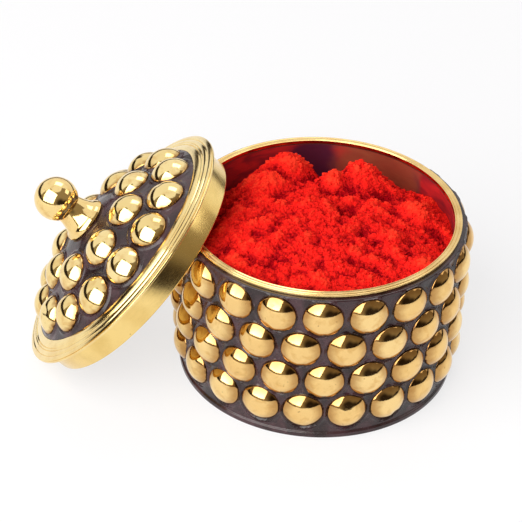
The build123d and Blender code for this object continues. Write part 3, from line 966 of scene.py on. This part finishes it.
def studio_light():
    """White where the camera and metal see it, and a soft even fill for the rest."""
    world = bpy.data.worlds.new("studio")
    world.use_nodes = True
    nodes = world.node_tree.nodes
    links = world.node_tree.links
    path = nodes.new("ShaderNodeLightPath").outputs
    seen = nodes.new("ShaderNodeMath")
    seen.operation = "MAXIMUM"
    links.new(path["Is Camera Ray"], seen.inputs[0])
    links.new(path["Is Glossy Ray"], seen.inputs[1])
    shown = nodes.new("ShaderNodeMath")
    shown.operation = "MAXIMUM"
    links.new(seen.outputs[0], shown.inputs[0])
    links.new(path["Is Transmission Ray"], shown.inputs[1])
    tone = nodes.new("ShaderNodeMix")
    tone.data_type = "RGBA"
    tone.inputs[6].default_value = colour(0.29, 0.28, 0.30)
    tone.inputs[7].default_value = colour(1.0, 1.0, 1.0)
    links.new(shown.outputs[0], tone.inputs[0])
    links.new(tone.outputs[2], nodes["Background"].inputs["Color"])
    bpy.context.scene.world = world


def add_stage():
    """Floor, lamps and the room that polished metal mirrors: a dim wall on the camera's side with darker shapes."""
    reach = 4.0
    flat_card("floor", [(-reach, -reach, 0), (reach, -reach, 0), (reach, reach, 0), (-reach, reach, 0)], white_floor())
    soft_box("key_left", -40, 37, 1.2, 1.35, 1.30, 3.3)
    soft_box("fill_right", 95, 40, 1.3, 0.5, 0.4, 1.2)
    soft_box("back_top", 170, 60, 1.3, 0.6, 0.5, 1.5)
    room = (0.30, 0.25, 0.18)
    dark = (0.03, 0.022, 0.018)
    spots = [(compass(24, 12) * 3.0, 1.25), (compass(48, 4) * 3.0, 1.0)]
    room_cloth = screen_cloth("room_cloth", room, dark, spots)
    dark_cloth = screen_cloth("dark_cloth", dark, dark, [])
    for start in range(-90, 110, 40):
        screen(f"room_{start + 90}", room_cloth, 3.0, ((start, 0.4), (start + 40, 0.4), (start + 40, 66), (start, 66)))
    for start, top in ((60, 8), (100, 8), (140, 8), (180, 10), (220, 15), (260, 15)):
        screen(f"horizon_{start}", dark_cloth, 2.8, ((start, 0.4), (start + 40, 0.4), (start + 40, top), (start, top)))
    studio_light()
    bpy.context.scene.view_settings.view_transform = "Standard"


def add_camera():
    """The camera at the photograph's angle, turned by a small roll."""
    rise = radians(view_elevation)
    roll = radians(view_roll)
    level = Vector((1, 0, 0))
    upright = Vector((0, sin(rise), cos(rise)))
    forward = Vector((0, cos(rise), -sin(rise)))
    right = level * cos(roll) + upright * sin(roll)
    up = upright * cos(roll) - level * sin(roll)
    place = (up * view_down - right * view_right - forward * view_distance) * metres
    data = bpy.data.cameras.new("camera")
    data.sensor_width = view_sensor
    data.lens = view_lens
    data.clip_start = 0.05
    data.clip_end = 20
    camera = bpy.data.objects.new("camera", data)
    camera.matrix_world = Matrix.Translation(place) @ Matrix((right, up, -forward)).transposed().to_4x4()
    bpy.context.scene.collection.objects.link(camera)
    bpy.context.scene.camera = camera


def dress(node, finish):
    """Gives a CAD node that stays its finish."""
    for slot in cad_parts[node].material_slots:
        slot.material = finish


place = lid_place()
# The last number of each stud finish is where its painted darker rim reflection begins, as a share of the stud's
# radius.
stud_finish = polished_brass("stud_brass", (0.96, 0.69, 0.30), (0.88, 0.57, 0.21), 0.42)
lid_stud_finish = polished_brass("lid_stud_brass", (0.96, 0.76, 0.36), (0.86, 0.64, 0.26), 0.82)
knob_finish = polished_brass("knob_brass", (0.94, 0.70, 0.30), (0.88, 0.62, 0.24))
mouth_finish = turned_brass("mouth_brass", (0.86, 0.62, 0.27), (0.70, 0.46, 0.17), 0.08, 0.20, 0.006)
ring_finish = turned_brass("lid_ring_brass", (0.94, 0.74, 0.34), (0.86, 0.62, 0.25), 0.08, 0.18, 0.004, place)
band_finish = turned_brass("lid_band_brass", (0.92, 0.67, 0.25), (0.82, 0.57, 0.19), 0.14, 0.24, 0.006, place)
plate_finish = turned_brass("plate_brass", (0.80, 0.58, 0.33), (0.62, 0.42, 0.22), 0.30, 0.48, 0.012)
cup_finish = stained_brass("cup_brass")
lac_finish = dark_lac("lac")
powder_finish = red_powder("kumkum_powder")

rows = box_stud_rows()
outer_ring = lid_stud_ring(outer_ring_inset, outer_ring_phase)
inner_ring = lid_stud_ring(inner_ring_inset, inner_ring_phase)

box_cup(cup_finish)
box_mouth(mouth_finish)
box_lac(rows, lac_finish)
for number, row in enumerate(rows, start=1):
    studs(f"box_domes_{number}", row, stud_radius, stud_height, stud_finish, "box", "stud_brass",
          f"studs_row_{number}", number)
powder(powder_finish)
crumbs(powder_finish)

lid_ring(place, ring_finish)
lid_band(place, band_finish)
lid_lac((outer_ring, inner_ring), place, lac_finish)
studs("lid_domes_outer", outer_ring, lid_stud_radius, lid_stud_height, lid_stud_finish, "lid", "stud_brass",
      "lid_studs_outer", 11, place)
studs("lid_domes_inner", inner_ring, lid_stud_radius, lid_stud_height, lid_stud_finish, "lid", "stud_brass",
      "lid_studs_inner", 12, place)
lid_knob(place, knob_finish)

dress("base_plate", plate_finish)
dress("lid_crown", band_finish)
dress("knob_washer", band_finish)
dress("knob_rivet", knob_finish)

add_stage()
add_camera()
